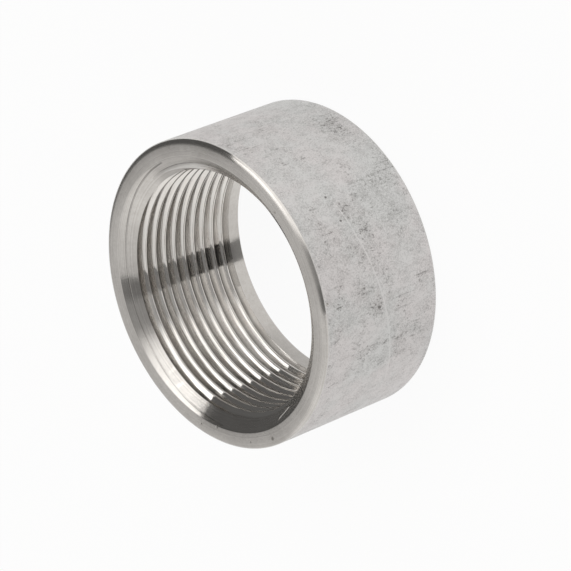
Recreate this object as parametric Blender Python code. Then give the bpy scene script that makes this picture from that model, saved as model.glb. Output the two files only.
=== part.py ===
"""A half coupling for inch and a half pipe: a short stainless ring, open at both ends.

It is one solid. The outside is turned, with a bevel at each end. The mouth is countersunk,
the bore carries a right-hand parallel pipe thread of 55 degrees, and the last few
millimetres before the plain end are left without a thread.

The ring stands on its plain end. The origin is the centre of that end and +Z is the axis,
so the threaded mouth is on top. Lengths are in metres and angles in degrees.
"""

import math

import bmesh
import bpy

# Thread of an inch and a half pipe: 11 turns to the inch, flanks 55 degrees apart, rounded
# roots. The diameter is measured over the roots.
THREAD_DIAMETER = 0.047803
THREAD_DEPTH = 0.0014785
THREAD_PITCH = 0.0254 / 11
THREAD_ANGLE = 55.0
ROOT_RADIUS = 0.000317
THREAD_START_ANGLE = 153.4
THREAD_END_HEIGHT = 0.0026
RUN_OUT_TURN = 90.0

# Outside. The wall is what stands between the thread's roots and the outside.
WALL = 0.0046
LENGTH = 0.0272
MOUTH_BEVEL_HEIGHT = 0.00065
MOUTH_BEVEL_WIDTH = 0.00090
PLAIN_BEVEL_HEIGHT = 0.00045
PLAIN_BEVEL_WIDTH = 0.00130

# Mouth. The lip is how far the countersink opens past the thread's roots.
MOUTH_LIP = 0.0015
COUNTERSINK_ANGLE = 110.0

# Plain band below the thread. The relief is how far it stands back from the crests.
BAND_RELIEF = 0.00028
BAND_LENGTH = 0.0032
BAND_EDGE_BREAK = 0.0003

# Facets round the axis, how far the cutting tool stands clear of the metal, and how close
# two points of the finished cut are made one.
FACETS = 64
TOOL_CLEARANCE = 0.0002
WELD_DISTANCE = 0.000005

STEEL_COLOUR = (0.52, 0.51, 0.50, 1.0)
STEEL_ROUGHNESS = 0.38
CREASE_ANGLE = 24.0


def clear_scene():
    for old in list(bpy.data.objects):
        bpy.data.objects.remove(old, do_unlink=True)


def steel():
    material = bpy.data.materials.new("stainless_steel")
    material.use_nodes = True
    shader = material.node_tree.nodes["Principled BSDF"]
    shader.inputs["Base Color"].default_value = STEEL_COLOUR
    shader.inputs["Metallic"].default_value = 1.0
    shader.inputs["Roughness"].default_value = STEEL_ROUGHNESS
    return material


def ring_section():
    """The (radius, height) corners of the ring before it is threaded, once round."""
    root = THREAD_DIAMETER / 2
    crest = root - THREAD_DEPTH
    outer = root + WALL
    mouth = root + MOUTH_LIP
    band = crest + BAND_RELIEF
    countersink = (mouth - crest) / math.tan(math.radians(COUNTERSINK_ANGLE / 2))
    return [
        (band + BAND_EDGE_BREAK, 0.0),
        (outer - PLAIN_BEVEL_WIDTH, 0.0),
        (outer, PLAIN_BEVEL_HEIGHT),
        (outer, LENGTH - MOUTH_BEVEL_HEIGHT),
        (outer - MOUTH_BEVEL_WIDTH, LENGTH),
        (mouth, LENGTH),
        (crest, LENGTH - countersink),
        (crest, BAND_LENGTH + BAND_RELIEF),
        (band, BAND_LENGTH),
        (band, BAND_EDGE_BREAK),
    ]


def turned_ring():
    """The section spun once round the axis."""
    mesh = bmesh.new()
    corners = [mesh.verts.new((radius, 0.0, height)) for radius, height in ring_section()]
    edges = [mesh.edges.new((a, b)) for a, b in zip(corners, corners[1:] + corners[:1])]
    bmesh.ops.spin(
        mesh,
        geom=corners + edges,
        cent=(0.0, 0.0, 0.0),
        axis=(0.0, 0.0, 1.0),
        angle=2 * math.pi,
        steps=FACETS,
        use_merge=True,
    )
    bmesh.ops.recalc_face_normals(mesh, faces=mesh.faces)
    return mesh


def groove_section(lift):
    """The (radius, height) corners of the thread groove about its centre line.

    The groove is open towards the axis. Lift draws the section in towards the axis, as the
    tool is drawn out of the metal where the thread ends.
    """
    half_angle = math.radians(THREAD_ANGLE / 2)
    root = THREAD_DIAMETER / 2
    pitch_line = root - THREAD_DEPTH / 2
    shoulder_height = ROOT_RADIUS * math.cos(half_angle)
    shoulder = root - ROOT_RADIUS * (1 - math.sin(half_angle))
    inside = root - THREAD_DEPTH - TOOL_CLEARANCE
    inside_height = THREAD_PITCH / 4 + (pitch_line - inside) * math.tan(half_angle)
    return [
        (inside - lift, -inside_height),
        (shoulder - lift, -shoulder_height),
        (root - lift, 0.0),
        (shoulder - lift, shoulder_height),
        (inside - lift, inside_height),
    ]


def thread_tool():
    """The metal that the thread takes away: the groove's section carried down a helix."""
    step = 2 * math.pi / FACETS
    rise = THREAD_PITCH / (2 * math.pi)
    start = math.radians(THREAD_START_ANGLE)
    run_out = math.radians(RUN_OUT_TURN)
    above = (THREAD_PITCH / 2 + TOOL_CLEARANCE) / rise
    first = math.ceil((start + above) / step)
    end = start - (LENGTH - THREAD_END_HEIGHT) / rise
    last = math.floor(end / step)
    lift_at_end = THREAD_DEPTH + TOOL_CLEARANCE

    mesh = bmesh.new()
    rings = []
    for number in range(first, last - 1, -1):
        angle = number * step
        height = LENGTH + (angle - start) * rise
        left = max(0.0, 1 - (angle - last * step) / run_out)
        ring = [
            mesh.verts.new((radius * math.cos(angle), radius * math.sin(angle), height + z))
            for radius, z in groove_section(left * lift_at_end)
        ]
        rings.append(ring)
    for upper, lower in zip(rings, rings[1:]):
        for a in range(len(upper)):
            b = (a + 1) % len(upper)
            mesh.faces.new((upper[a], upper[b], lower[b], lower[a]))
    mesh.faces.new(rings[0])
    mesh.faces.new(rings[-1])
    bmesh.ops.recalc_face_normals(mesh, faces=mesh.faces)
    return mesh


def add_object(name, mesh):
    data = bpy.data.meshes.new(name)
    mesh.to_mesh(data)
    mesh.free()
    made = bpy.data.objects.new(name, data)
    bpy.context.collection.objects.link(made)
    return made


def cut_thread(ring, tool):
    tool.hide_render = True
    tool.display_type = "WIRE"
    cut = ring.modifiers.new("thread", "BOOLEAN")
    cut.operation = "DIFFERENCE"
    cut.object = tool
    bpy.context.view_layer.objects.active = ring
    bpy.ops.object.modifier_apply(modifier=cut.name)


def weld(ring):
    mesh = bmesh.new()
    mesh.from_mesh(ring.data)
    bmesh.ops.remove_doubles(mesh, verts=mesh.verts, dist=WELD_DISTANCE)
    bmesh.ops.dissolve_degenerate(mesh, edges=mesh.edges, dist=WELD_DISTANCE)
    mesh.to_mesh(ring.data)
    mesh.free()


def shade(ring):
    ring.data.materials.clear()
    ring.data.materials.append(steel())
    ring.data.shade_smooth()
    ring.data.set_sharp_from_angle(angle=math.radians(CREASE_ANGLE))


clear_scene()
coupling = add_object("half_coupling_body", turned_ring())
cut_thread(coupling, add_object("thread_tool", thread_tool()))
weld(coupling)
shade(coupling)
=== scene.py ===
"""The looks of a threaded stainless half coupling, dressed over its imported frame."""

import math

import bpy
from mathutils import Matrix, Vector


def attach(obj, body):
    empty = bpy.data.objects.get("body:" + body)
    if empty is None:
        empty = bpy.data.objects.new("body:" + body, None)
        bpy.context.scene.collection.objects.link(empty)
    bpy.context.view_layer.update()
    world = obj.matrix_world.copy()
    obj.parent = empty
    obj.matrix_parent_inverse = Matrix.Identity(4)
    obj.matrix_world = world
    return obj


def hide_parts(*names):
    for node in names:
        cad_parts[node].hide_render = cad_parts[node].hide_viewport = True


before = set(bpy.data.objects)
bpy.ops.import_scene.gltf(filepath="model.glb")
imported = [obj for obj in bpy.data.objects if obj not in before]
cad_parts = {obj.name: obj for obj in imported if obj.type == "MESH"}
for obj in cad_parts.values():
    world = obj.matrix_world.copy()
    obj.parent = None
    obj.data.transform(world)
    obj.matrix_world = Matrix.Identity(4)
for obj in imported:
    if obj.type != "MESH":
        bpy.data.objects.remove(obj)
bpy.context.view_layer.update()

bpy.ops.object.select_all(action="DESELECT")
scene = bpy.context.scene
scene.view_settings.view_transform = "Standard"


# The camera stands where the photograph was taken from, and is rolled as the photograph is:
# the coupling stands on its plain end here, and its axis lies across the picture there.
camera_place = Vector((-0.003009, -0.534379, 0.439315))
degrees_down = 38.693
degrees_rolled = -111.606
photo_camera = bpy.data.cameras.new("photo_camera")
photo_camera.lens = 242.302
photo_camera.sensor_width = 36
photo_camera.clip_start = 0.05
photo_camera.clip_end = 20
camera = bpy.data.objects.new("photo_camera", photo_camera)
scene.collection.objects.link(camera)
camera.matrix_world = (
    Matrix.Translation(camera_place)
    @ Matrix.Rotation(math.radians(90 - degrees_down), 4, "X")
    @ Matrix.Rotation(math.radians(degrees_rolled), 4, "Z")
)
scene.camera = camera


class Wire:
    """A node's socket, on which Python's operators build Math nodes."""

    def __init__(self, tree, socket=None):
        self.tree = tree
        self.socket = socket

    def node(self, kind, settings=None, inputs=None, output=0):
        """One node of a kind: its settings come first, then values or wires for its sockets."""
        made = self.tree.nodes.new(kind)
        for name, value in (settings or {}).items():
            setattr(made, name, value)
        for name, value in (inputs or {}).items():
            if isinstance(value, Wire):
                self.tree.links.new(value.socket, made.inputs[name])
            else:
                made.inputs[name].default_value = value
        return Wire(self.tree, made.outputs[output] if made.outputs else None)

    def math(self, operation, *values):
        return self.node("ShaderNodeMath", {"operation": operation}, dict(enumerate(values)))

    def __add__(self, other):
        return self.math("ADD", self, other)

    __radd__ = __add__

    def __sub__(self, other):
        return self.math("SUBTRACT", self, other)

    def __rsub__(self, other):
        return self.math("SUBTRACT", other, self)

    def __mul__(self, other):
        return self.math("MULTIPLY", self, other)

    __rmul__ = __mul__

    def step(self, low, high):
        """Goes smoothly from 0 at low to 1 at high, or from 1 to 0 where low is the larger."""
        return self.node(
            "ShaderNodeMapRange",
            {"interpolation_type": "SMOOTHSTEP"},
            {"Value": self, "From Min": low, "From Max": high},
        )


# The room. A white lamp panel hangs overhead to the right and ends in a straight edge, with
# the dark end of the room beyond it. To the left is a pale wall, and between the two, on the
# camera's side, a dark gap. What is below the horizon shows in the bore, through its lower end.
lamp_colour = (1.0, 0.985, 0.965, 1)
wall_level = 0.9
ceiling_level = 0.38
far_left_level = 0.67
far_right_level = 0.66
gap_level = 0.22
dark_level = 0.12
low_level = 0.93
room = bpy.data.worlds.new("studio_room")
scene.world = room
room.use_nodes = True
room.node_tree.nodes.clear()
air = Wire(room.node_tree)
towards = air.node("ShaderNodeTexCoord", output="Generated")


def side_of(edge):
    """How far a direction lies past an edge of the room, whose plane passes the coupling."""
    return air.node(
        "ShaderNodeVectorMath", {"operation": "DOT_PRODUCT"}, {0: towards, 1: edge}, "Value"
    )


def cover(under, over, mask):
    """One brightness, with another in its place where the mask is 1."""
    return under * (1 - mask) + over * mask


to_right = side_of((1, 0, 0))
to_back = side_of((0, 1, 0))
to_top = side_of((0, 0, 1))
past_wall = side_of((0.934, -0.357, 0)).step(-0.285, -0.272)
past_gap = side_of((0.982, -0.189, 0)).step(-0.15, -0.145)
gap = past_wall * (1 - past_gap)
far_end = to_back.step(0.6, 0.74)
dark_end = side_of((0.655, 0.756, 0)).step(0.588, 0.594)
dark_end = dark_end * side_of((0.985, -0.174, 0)).step(-0.08, 0.05)

# The wall is a little dimmer overhead, more so on the camera's side, and lighter to the back.
near_end = to_back.step(-0.08, -0.2) * to_top.step(0.6, 0.8)
wall_light = wall_level - 0.12 * to_top.step(0.7, 0.85) - 0.18 * near_end
wall_light = wall_light + 0.08 * to_back.step(0.05, 0.3)

# The panel is dimmer in its near half, and dimmest far to the right of its other half.
corner = to_right.step(0.56, 0.68) * to_back.step(-0.1, 0.02)
panel = past_wall * to_right.step(0, 0.3) * to_back.step(0.55, 0.3)
panel = panel * (0.6 + 0.4 * to_back.step(-0.05, 0.12)) * (1 - 0.75 * corner)
panel_light = ceiling_level + 0.28 * to_back.step(0.1, 0.4) + 1.85 * panel

level = cover(wall_light, far_left_level, far_end)
level = cover(level, cover(panel_light, far_right_level, far_end), past_wall)
level = cover(level, gap_level, gap * to_back.step(0.25, 0))
level = cover(level, dark_level, dark_end)

# Below the horizon the gap goes on, less dark further down, and the rest dims to the right.
low_gap = gap * (0.89 - 0.28 * to_top.step(-0.52, -0.62))
low = low_level - low_gap - 0.25 * to_right.step(0.45, 0.75)
level = cover(level, low, to_top.step(0, -0.05))
seen = air.node("ShaderNodeLightPath", output="Is Camera Ray")
strength = cover(level, 1, seen)
light = air.node("ShaderNodeBackground", inputs={"Color": lamp_colour, "Strength": strength})
air.node("ShaderNodeOutputWorld", inputs={"Surface": light})


# The floor. A wide sheet of white paper, under the plain end that the coupling stands on.
# Reflections in the bore look through the sheet, as the ring lay open at both ends.
floor_size = 4
paper_colour = (0.85, 0.85, 0.85, 1)
paper_glow = 0.93
opening_radius = 0.0227
opening_blur = 0.0001
bpy.ops.mesh.primitive_plane_add(size=floor_size)
floor = bpy.context.object
floor.name = "floor"
paper = bpy.data.materials.new("white_paper")
paper.use_nodes = True
paper.node_tree.nodes.clear()
sheet = Wire(paper.node_tree)


def length_of(where):
    return where.node("ShaderNodeVectorMath", {"operation": "LENGTH"}, {0: where}, "Value")


camera_ray = sheet.node("ShaderNodeLightPath", output="Is Camera Ray")
glossy_ray = sheet.node("ShaderNodeLightPath", output="Is Glossy Ray")
clear_ray = sheet.node("ShaderNodeLightPath", output="Is Transmission Ray")
shown = sheet.math("MAXIMUM", sheet.math("MAXIMUM", camera_ray, glossy_ray), clear_ray)
matt = sheet.node("ShaderNodeBsdfDiffuse", inputs={"Color": paper_colour})
glow = sheet.node("ShaderNodeEmission", inputs={"Color": (1, 1, 1, 1), "Strength": 1.0})
white = sheet.node("ShaderNodeMixShader", inputs={0: shown * paper_glow, 1: matt, 2: glow})
off_axis = length_of(sheet.node("ShaderNodeTexCoord", output="Object"))
open_end = glossy_ray * off_axis.step(opening_radius, opening_radius - opening_blur)
clear = sheet.node("ShaderNodeBsdfTransparent")
surface = sheet.node("ShaderNodeMixShader", inputs={0: open_end, 1: white, 2: clear})
sheet.node("ShaderNodeOutputMaterial", inputs={"Surface": surface})
floor.data.materials.append(paper)


# The coupling. One ring of stainless bar, turned outside and on both ends, countersunk at
# the mouth and tapped right-hand with the rounded 55 degree thread of inch and a half pipe.
turn_steps = 192
height = 0.0272
pitch = 0.0254 / 11
root_radius = 0.047803 / 2
crest_radius = root_radius - 0.0014785
outer_radius = root_radius + 0.0046
mouth_radius = root_radius + 0.0015
countersink_slope = math.tan(math.radians(55))
countersink_depth = (mouth_radius - crest_radius) / countersink_slope
band_relief = 0.00028
band_radius = crest_radius + band_relief
band_length = 0.0032
band_edge = 0.0003
plain_bevel_width = 0.0013
plain_bevel_height = 0.00045
wall_split = 0.012
mouth_edge_width = 0.0012
mouth_edge_height = 0.00065
mouth_edge_steps = 10


def select_points(thing, points):
    """Leaves these points of a mesh selected and nothing else, for edit mode to act on."""
    for part in (thing.data.polygons, thing.data.edges, thing.data.vertices):
        part.foreach_set("select", [False] * len(part))
    for point in points:
        point.select = True


def draw_outline(name, corners):
    """A closed outline in the XZ plane from (radius, height, rounding, steps) corners."""
    bpy.ops.mesh.primitive_plane_add(size=0.001, location=(corners[0][0], 0, corners[0][1]))
    outline = bpy.context.object
    outline.name = name
    bpy.ops.object.transform_apply(location=True, rotation=True, scale=True)
    bpy.ops.object.mode_set(mode="EDIT")
    bpy.ops.mesh.select_mode(type="VERT")
    bpy.ops.mesh.select_all(action="SELECT")
    bpy.ops.mesh.merge(type="CENTER")
    for here, there in zip(corners, corners[1:]):
        move = (there[0] - here[0], 0, there[1] - here[1])
        bpy.ops.mesh.extrude_region_move(TRANSFORM_OT_translate={"value": move})
    bpy.ops.mesh.select_all(action="SELECT")
    bpy.ops.mesh.edge_face_add()
    for radius, z, rounding, steps in corners:
        if rounding:
            bpy.ops.object.mode_set(mode="OBJECT")
            place = Vector((radius, 0, z))
            nearest = min(outline.data.vertices, key=lambda v: (v.co - place).length)
            select_points(outline, [nearest])
            bpy.ops.object.mode_set(mode="EDIT")
            bpy.ops.mesh.bevel(offset=rounding, segments=steps, affect="VERTICES")
    bpy.ops.mesh.select_all(action="SELECT")
    bpy.ops.mesh.delete(type="ONLY_FACE")
    bpy.ops.object.mode_set(mode="OBJECT")
    return outline


def cut_away(tool, name):
    """Takes a tool's shape out of the coupling, and puts the tool away."""
    cut = coupling.modifiers.new(name, "BOOLEAN")
    cut.operation = "DIFFERENCE"
    cut.solver = "EXACT"
    cut.object = tool
    bpy.context.view_layer.objects.active = coupling
    bpy.ops.object.modifier_apply(modifier=cut.name)
    bpy.data.objects.remove(tool)


mouth_edge = []
for step in range(mouth_edge_steps + 1):
    turn = math.radians(90 * step / mouth_edge_steps)
    radius = outer_radius - mouth_edge_width * (1 - math.cos(turn))
    mouth_edge.append((radius, height - mouth_edge_height * (1 - math.sin(turn)), 0, 0))
coupling = draw_outline(
    "threaded_coupling",
    [
        (band_radius + band_edge, 0.0, 0.0001, 2),
        (outer_radius - plain_bevel_width, 0.0, 0.0003, 3),
        (outer_radius, plain_bevel_height, 0.0002, 3),
        (outer_radius, wall_split, 0, 0),
        *mouth_edge,
        (mouth_radius, height, 0.0001, 2),
        (crest_radius, height - countersink_depth, 0, 0),
        (crest_radius, band_length + band_relief, 0, 0),
        (band_radius, band_length, 0, 0),
        (band_radius, band_edge, 0.0001, 2),
    ],
)
bpy.ops.object.mode_set(mode="EDIT")
bpy.ops.mesh.select_all(action="SELECT")
bpy.ops.mesh.spin(
    steps=turn_steps, angle=2 * math.pi, use_auto_merge=True, center=(0, 0, 0), axis=(0, 0, 1)
)
bpy.ops.mesh.select_all(action="SELECT")
bpy.ops.mesh.remove_doubles(threshold=0.000001)
bpy.ops.mesh.normals_make_consistent(inside=False)
bpy.ops.object.mode_set(mode="OBJECT")

# The tap is a groove's section carried up a helix, on past the mouth. Its sides lean a
# little at the crest, which leaves a low ridge on each turn.
half_angle = math.radians(27.5)
crest_lean = math.tan(math.radians(10))
crest_side = 0.001145
crest_skim = 0.0000033
crest_rounding = 0.000156
root_rounding = 0.000609
tap_clearance = 0.0002
turns_above = 0.65
start_degrees = 153.4
thread_end = 0.0026
middle_radius = (root_radius + crest_radius) / 2
tip = middle_radius + pitch / 4 / math.tan(half_angle)
crest_start = crest_radius - crest_skim
corner_rise = middle_radius - crest_start - crest_side * crest_lean
corner_z = pitch / 4 + corner_rise * math.tan(half_angle)
corner_z = corner_z / (1 - crest_lean * math.tan(half_angle))
corner_radius = crest_start + (crest_side - corner_z) * crest_lean
clear_radius = crest_radius - tap_clearance
turns_down = (height - thread_end) / pitch
turns = math.ceil((turns_down + turns_above) * turn_steps) / turn_steps
tap = draw_outline(
    "thread_tap",
    [
        (clear_radius, thread_end - crest_side, 0, 0),
        (crest_start, thread_end - crest_side, 0, 0),
        (corner_radius, thread_end - corner_z, crest_rounding, 4),
        (tip, thread_end, root_rounding, 8),
        (corner_radius, thread_end + corner_z, crest_rounding, 4),
        (crest_start, thread_end + crest_side, 0, 0),
        (clear_radius, thread_end + crest_side, 0, 0),
    ],
)
section_points = len(tap.data.vertices)
screw = tap.modifiers.new("thread", "SCREW")
screw.angle = 2 * math.pi * turns
screw.screw_offset = pitch * turns
screw.steps = round(turns * turn_steps)
screw.render_steps = round(turns * turn_steps)
screw.use_smooth_shade = False
bpy.ops.object.modifier_apply(modifier=screw.name)

# Where the thread ends, the tap's last quarter turn draws out of the metal.
run_out_steps = turn_steps // 4
for vertex in tap.data.vertices:
    steps_left = run_out_steps - vertex.index // section_points
    if steps_left > 0:
        lift = (root_radius - clear_radius) * steps_left / run_out_steps
        flat = Vector((vertex.co.x, vertex.co.y, 0))
        vertex.co -= flat.normalized() * lift
bpy.ops.object.mode_set(mode="EDIT")
bpy.ops.mesh.select_mode(type="EDGE")
bpy.ops.mesh.select_all(action="DESELECT")
bpy.ops.mesh.select_non_manifold()
bpy.ops.mesh.fill_holes(sides=0)
bpy.ops.mesh.select_all(action="SELECT")
bpy.ops.mesh.normals_make_consistent(inside=False)
bpy.ops.object.mode_set(mode="OBJECT")
one_step = 2 * math.pi / turn_steps
start_angle = math.radians(start_degrees) - 2 * math.pi * turns_down
tap.rotation_euler.z = round(start_angle / one_step) * one_step
bpy.ops.object.transform_apply(location=True, rotation=True, scale=True)
cut_away(tap, "tapping")

# A scribed line crosses the countersink, where a second tool stood off centre.
scribe_centre = 0.00132
scribe_radius = 0.02543
scribe_dip = 0.0009
scribe_width = 0.00016
scribe_points = 8
scribe_lift = 0.00005
far_side = math.radians(76.1)
tilt = Matrix.Rotation(far_side, 4, "Z")
tilt = tilt @ Matrix.Rotation(math.atan(scribe_dip / scribe_radius), 4, "Y")
bpy.ops.object.select_all(action="DESELECT")
bpy.ops.mesh.primitive_torus_add(
    location=tilt.to_3x3() @ Vector((-scribe_centre, 0, 0)) + Vector((0, 0, height)),
    rotation=tilt.to_euler(),
    major_radius=scribe_radius,
    minor_radius=scribe_width,
    major_segments=turn_steps,
    minor_segments=scribe_points,
)
scribe = bpy.context.object
bpy.ops.object.transform_apply(location=True, rotation=True, scale=True)
points = list(scribe.data.vertices)
hoops = [points[first : first + scribe_points] for first in range(0, len(points), scribe_points)]
raised = [hoop for hoop in hoops if max(point.co.z for point in hoop) > height - scribe_lift]
select_points(scribe, [point for hoop in raised for point in hoop])
bpy.ops.object.mode_set(mode="EDIT")
bpy.ops.mesh.select_mode(type="VERT")
bpy.ops.mesh.delete(type="VERT")
bpy.ops.mesh.select_all(action="SELECT")
bpy.ops.mesh.region_to_loop()
bpy.ops.mesh.fill_holes(sides=0)
bpy.ops.mesh.select_all(action="SELECT")
bpy.ops.mesh.normals_make_consistent(inside=False)
bpy.ops.object.mode_set(mode="OBJECT")

# A short bright scuff lies aslant on the countersink, beside where the thread starts.
scuff_start = Vector((-0.02436, -0.00351, 0.02666))
scuff_end = Vector((-0.02287, -0.00721, 0.02621))
scuff_run = scuff_end - scuff_start
scuff_width = 0.00016
bpy.ops.mesh.primitive_cylinder_add(
    vertices=16,
    radius=scuff_width,
    depth=scuff_run.length,
    location=(scuff_start + scuff_end) / 2,
    rotation=scuff_run.to_track_quat("Z", "Y").to_euler(),
)
scuff = bpy.context.object

# A knock has dented the wall just below the mouth's edge.
knock_angle = math.radians(-107.7)
knock_height = 0.02612
knock_size = 0.0003
knock_reach = outer_radius + 0.2 * knock_size
knock_place = (knock_reach * math.cos(knock_angle), knock_reach * math.sin(knock_angle))
bpy.ops.mesh.primitive_ico_sphere_add(
    subdivisions=3, radius=knock_size, location=(*knock_place, knock_height)
)
knock = bpy.context.object
for tool in (scribe, scuff, knock):
    cut_away(tool, "marking")
crease_angle = math.radians(25)
coupling.select_set(True)
bpy.ops.object.shade_smooth_by_angle(angle=crease_angle)


# The finishes. The wall is pickled bar: matt and grey, mottled, with stains, dull streaks
# along the bar, small dark pits and a long pale scratch. The ends are turned. The thread is
# bright where the tap cut last, and its roots are painted darker, as painted shade.
wall_pale = (0.673, 0.663, 0.654, 1)
wall_dark = (0.285, 0.277, 0.267, 1)
ends_pale = (0.64, 0.622, 0.6, 1)
ends_dark = (0.3, 0.285, 0.265, 1)
thread_pale = (0.75, 0.735, 0.714, 1)
thread_dark = (0.28, 0.27, 0.256, 1)


def metal(name):
    """A new finish of the coupling, as a wire on its nodes."""
    made = bpy.data.materials.new(name)
    made.use_nodes = True
    made.node_tree.nodes["Principled BSDF"].inputs["Metallic"].default_value = 1.0
    coupling.data.materials.append(made)
    return Wire(made.node_tree)


def grain(where, scale, detail, roughness=0.55):
    """Cloudy noise from 0 to 1, so many lumps to the metre."""
    values = {"Vector": where, "Scale": scale, "Detail": detail, "Roughness": roughness}
    return where.node("ShaderNodeTexNoise", None, values)


def rings(radius, scale, detail):
    """Noise from 0 to 1 that changes with the radius alone, as a lathe tool leaves it."""
    values = {"W": radius, "Scale": scale, "Detail": detail}
    return radius.node("ShaderNodeTexNoise", {"noise_dimensions": "1D"}, values)


def scaled(where, by):
    """A place or a colour, with each of its three parts multiplied."""
    return where.node("ShaderNodeVectorMath", {"operation": "MULTIPLY"}, {0: where, 1: by})


def blend(factor, first, second):
    """One colour where the factor is 0, going to the other where it is 1."""
    return factor.node(
        "ShaderNodeMix", {"data_type": "RGBA"}, {0: factor, 6: first, 7: second}, 2
    )


def stain(place, ragged, turn, radius, z, wide, tall):
    """A round mark, so many degrees round from +X, with a ragged edge."""
    angle = math.radians(turn)
    values = {
        "Vector": place,
        "Location": (radius * math.cos(angle), radius * math.sin(angle), z),
        "Rotation": (0, 0, angle),
        "Scale": (wide, wide, tall),
    }
    away = length_of(place.node("ShaderNodeMapping", {"vector_type": "TEXTURE"}, values))
    return (away + 1.3 * (ragged - 0.5)).step(1.1, 0.3)


def finish(colour, roughness, relief, depth, drawn=0):
    """Feeds a finish's shader. Relief is how the surface rises and falls, and drawn is how
    far the highlights are drawn out across the tool's lines."""
    values = {"Distance": depth, "Filter Width": 0.02, "Height": relief}
    bump = relief.node("ShaderNodeBump", None, values)
    shader = relief.tree.nodes["Principled BSDF"]
    for name, feed in (("Base Color", colour), ("Roughness", roughness), ("Normal", bump)):
        relief.tree.links.new(feed.socket, shader.inputs[name])
    if drawn:
        shader.inputs["Anisotropic"].default_value = drawn
        shader.inputs["Anisotropic Rotation"].default_value = 0.25


wall = metal("pickled_wall")
place = wall.node("ShaderNodeTexCoord", output="Object")
ragged = grain(place, 1100, 4, 0.75)
clouds = grain(place, 110, 3)
mottle = grain(scaled(place, (1, 1, 0.7)), 700, 5, 0.75)
sand = grain(place, 3800, 3, 0.75)
marks = grain(scaled(place, (1, 1, 0.6)), 2300, 3, 0.7)
streaks = grain(scaled(place, (1, 1, 0.03)), 1500, 3, 0.7)
patches = grain(scaled(place, (1, 1, 1.4)), 210, 3, 0.6)

# Where the wall is dirty, small dark marks lie close together.
dirt = 0.4 * patches.step(0.48, 0.64)
for turn, z, wide, tall, depth in (
    (-109, 0.0235, 0.0016, 0.0016, 1.0),
    (-103.5, 0.0228, 0.0013, 0.0014, 0.5),
    (-107, 0.0180, 0.0024, 0.0019, 0.7),
    (-80, 0.0155, 0.0026, 0.0020, 0.9),
    (-88.5, 0.0132, 0.0024, 0.0018, 0.9),
    (-76, 0.0107, 0.0018, 0.0022, 0.4),
    (-116.5, 0.0148, 0.0022, 0.0021, 0.6),
    (-130, 0.0150, 0.0005, 0.0120, 0.7),
    (-131, 0.0175, 0.0009, 0.0022, 0.6),
    (-140, 0.0250, 0.0006, 0.0024, 0.6),
    (-47, 0.0050, 0.0062, 0.0034, 0.6),
    (-82, 0.0223, 0.0060, 0.0006, 0.4),
    (-96, 0.0160, 0.0050, 0.0070, 0.3),
):
    dirt = dirt + depth * stain(place, ragged, turn, outer_radius, z, wide, tall)
pits = sand.step(0.74, 0.82) * dirt.step(0.1, 0.5) * 0.5
for turn, z, size in (
    (-72.6, 0.01779, 0.00032),
    (-82.3, 0.0174, 0.00026),
    (-115.9, 0.0143, 0.00042),
    (-47.6, 0.0037, 0.00028),
):
    pits = pits + stain(place, ragged, turn, outer_radius, z, size, size)
shade = 0.1 + 0.5 * (clouds - 0.5) + 0.95 * (mottle - 0.5)
shade = shade + (1.4 + 1.3 * patches) * (sand - 0.5)
shade = shade + (0.1 + dirt) * (0.18 + 1.2 * marks.step(0.53, 0.66))
shade = shade + 0.5 * streaks.step(0.6, 0.72) * patches.step(0.48, 0.6)

# The scratch climbs a little as it goes round, and fades out over six degrees at each end.
scratch_height = 0.0169
scratch_middle = -75
scratch_climb = 0.0000965
scratch_first = -152
scratch_last = -74
fade = 6
x_of, y_of, z_of = (
    place.node("ShaderNodeSeparateXYZ", inputs={0: place}, output=axis) for axis in "XYZ"
)
turned = place.math("ARCTAN2", y_of, x_of) * (180 / math.pi)
off_line = z_of - scratch_height - scratch_climb * (turned - scratch_middle)
off_line = off_line + 0.0004 * (clouds - 0.5)
scratch = place.math("ABSOLUTE", off_line).step(0.0002, 0.00006)
scratch = scratch * turned.step(scratch_first, scratch_first + fade)
scratch = scratch * turned.step(scratch_last, scratch_last - fade)
scratch = scratch * (0.2 + ragged.step(0.42, 0.58))
shade = shade + 0.9 * pits - 1.1 * scratch
hue = grain(place, 100, 3).step(0.35, 0.65)
tint = blend(hue, (1.018, 0.992, 0.99, 1), (0.994, 1.003, 0.998, 1))
colour = scaled(blend(shade, wall_pale, wall_dark), tint)
finish(colour, 0.42 + 0.2 * mottle + 0.2 * pits, sand + mottle - 1.5 * pits, 0.00003)

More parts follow.
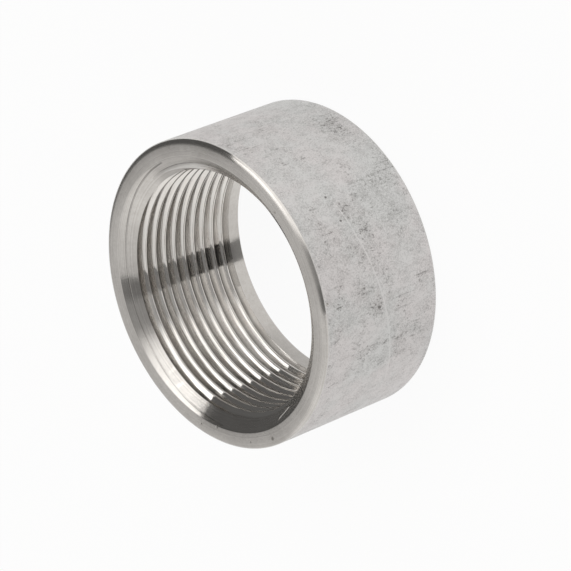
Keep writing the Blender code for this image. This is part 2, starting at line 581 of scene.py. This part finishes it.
ends = metal("turned_end")
place = ends.node("ShaderNodeTexCoord", output="Object")
ragged = grain(place, 1300, 3, 0.65)
clouds = grain(place, 150, 3)
radius_of = length_of(scaled(place, (1, 1, 0)))
wide_rings = rings(radius_of, 5200, 3)
fine_rings = rings(radius_of, 15000, 2)
pits = ragged.step(0.74, 0.8) * 0.5
for turn, radius, size in (
    (-178.7, 0.02713, 0.0005),
    (-69.2, 0.02609, 0.0003),
    (140.1, 0.02663, 0.00028),
    (149.0, 0.0256, 0.0003),
    (168.0, 0.02705, 0.00024),
):
    pits = pits + stain(place, ragged, turn, radius, height, size, size)
shade = 0.2 + 0.5 * (clouds - 0.5) + 0.35 * (ragged - 0.5) + 0.5 * (wide_rings - 0.5)
colour = blend(shade + 0.7 * pits, ends_pale, ends_dark)
relief = fine_rings + 0.4 * wide_rings - 2 * pits
finish(colour, 0.13 + 0.08 * clouds + 0.2 * pits, relief, 0.00001, drawn=0.9)

thread = metal("cut_thread")
place = thread.node("ShaderNodeTexCoord", output="Object")
clouds = grain(place, 170, 3)
lines = grain(scaled(place, (0.004, 0.004, 1)), 11000, 1, 0.6)
fleck = grain(place, 2400, 2, 0.6)
# Painted shade: the thread's colour darkens towards the root radius, standing in for the shade
# deep in the grooves.
root_shade_radius = length_of(scaled(place, (1, 1, 0))) + 0.0005 * (clouds - 0.5)
painted_root_shade = root_shade_radius.step(root_radius - 0.0009, root_radius - 0.0001)
shade = 0.55 * painted_root_shade + 0.35 * (lines - 0.5) + 0.25 * (fleck - 0.5) + 0.25 * (clouds - 0.5)
tint = blend(clouds.step(0.42, 0.62), (1.0, 1.0, 1.0, 1), (1.006, 0.995, 0.99, 1))
colour = scaled(blend(shade, thread_pale, thread_dark), tint)
finish(colour, 0.05 + 0.04 * fleck, lines, 0.00002, drawn=1.0)

# The outside has the wall's finish. Both end faces, their edges, the countersink and the
# plain band have the turned one, and what is left is the thread.
wall_slot, ends_slot, thread_slot = range(3)
close = 0.00001
band_top = 0.0031
for face in coupling.data.polygons:
    radius = math.hypot(face.center.x, face.center.y)
    countersink = mouth_radius - (height - face.center.z) * countersink_slope
    on_countersink = abs(radius - countersink) < close and radius > crest_radius
    if radius > outer_radius - close:
        face.material_index = wall_slot
    elif radius > mouth_radius or face.center.z < band_top or on_countersink:
        face.material_index = ends_slot
    else:
        face.material_index = thread_slot

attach(coupling, "root")
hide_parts("half_coupling_body")
